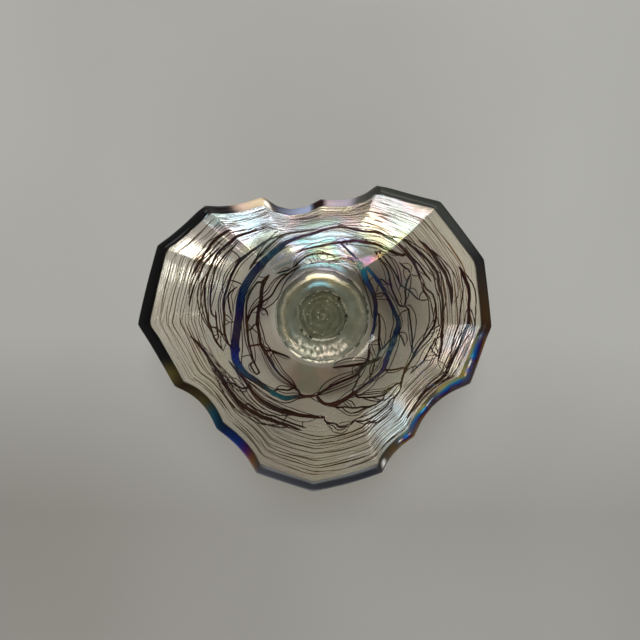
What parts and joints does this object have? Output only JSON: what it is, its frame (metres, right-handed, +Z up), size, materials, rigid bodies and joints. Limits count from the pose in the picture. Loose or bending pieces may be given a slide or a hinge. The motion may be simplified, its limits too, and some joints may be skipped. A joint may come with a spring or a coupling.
{
  "type": "art glass bowl",
  "caption": "Blown glass bowl with a ribbed, three-lobed flaring wall, a dark wrapped lip, a fine spiral thread, and trails of dark glass laid over a clear body on a thick ground base.",
  "frame": {"origin": "on the ground plane, under the middle of the bowl's bounding box; the axis of the blown body stands 5.0 mm towards +X and 14.4 mm towards +Y of it", "axes": "+Z up, +X towards the bowl's right side and +Y towards its back, where the deepest fold of the lip is"},
  "size_m": [0.2056, 0.1788, 0.0818],
  "materials": {
    "clear_glass": "glossy, faintly smoky, thin pink, blue and gold iridescence",
    "base_glass": "glossy, thick clear glass with a grey-green cast, ground pontil hollow",
    "dark_glass": "glossy, near-black purple, thin brown edges, blue iridescence",
    "lip_glass": "glossy, near-black, blue, gold and purple iridescence",
    "thread_glass": "glossy, translucent smoky brown"
  },
  "bodies": {
    "root": {"base_pad": "base_glass", "bowl_wall": "clear_glass", "fine_spiral_thread": "thread_glass", "heavy_trail_base": "dark_glass", "heavy_trail_left": "dark_glass", "heavy_trail_right": "dark_glass", "lip_wrap": "lip_glass", "trail_back_arc": "dark_glass", "trail_back_fold": "dark_glass", "trail_back_left": "dark_glass", "trail_back_sweep": "dark_glass", "trail_base_left": "dark_glass", "trail_front_high": "dark_glass", "trail_front_outer": "dark_glass", "trail_front_pair": "dark_glass", "trail_front_rise": "dark_glass", "trail_front_tail": "dark_glass", "trail_front_vee": "dark_glass", "trail_left_high": "dark_glass", "trail_left_high_branch": "dark_glass", "trail_left_inner": "dark_glass", "trail_left_lower": "dark_glass", "trail_left_rim": "dark_glass", "trail_left_rim_low": "dark_glass", "trail_left_upper": "dark_glass", "trail_right_high": "dark_glass", "trail_right_loop": "dark_glass", "trail_right_mid": "dark_glass", "trail_right_outer": "dark_glass", "trail_right_short": "dark_glass", "trail_under_lip": "dark_glass", "web_base_left": "dark_glass", "web_base_nub": "dark_glass", "web_front_cell": "dark_glass", "web_front_climb": "dark_glass", "web_front_crest": "dark_glass", "web_front_fall": "dark_glass", "web_front_fan": "dark_glass", "web_front_fan_right": "dark_glass", "web_front_hook": "dark_glass", "web_front_knot": "dark_glass", "web_front_left": "dark_glass", "web_front_right": "dark_glass", "web_front_span": "dark_glass", "web_left_arch": "dark_glass", "web_left_cell": "dark_glass", "web_left_fork": "dark_glass", "web_left_knot": "dark_glass", "web_left_strut": "dark_glass", "web_right_arch": "dark_glass", "web_right_cross": "dark_glass", "web_right_drop": "dark_glass", "web_right_fall": "dark_glass", "web_right_high": "dark_glass", "web_right_link": "dark_glass", "web_right_low": "dark_glass", "web_right_mid": "dark_glass", "web_right_rise": "dark_glass", "web_right_spur": "dark_glass"}
  },
  "joints": []
}
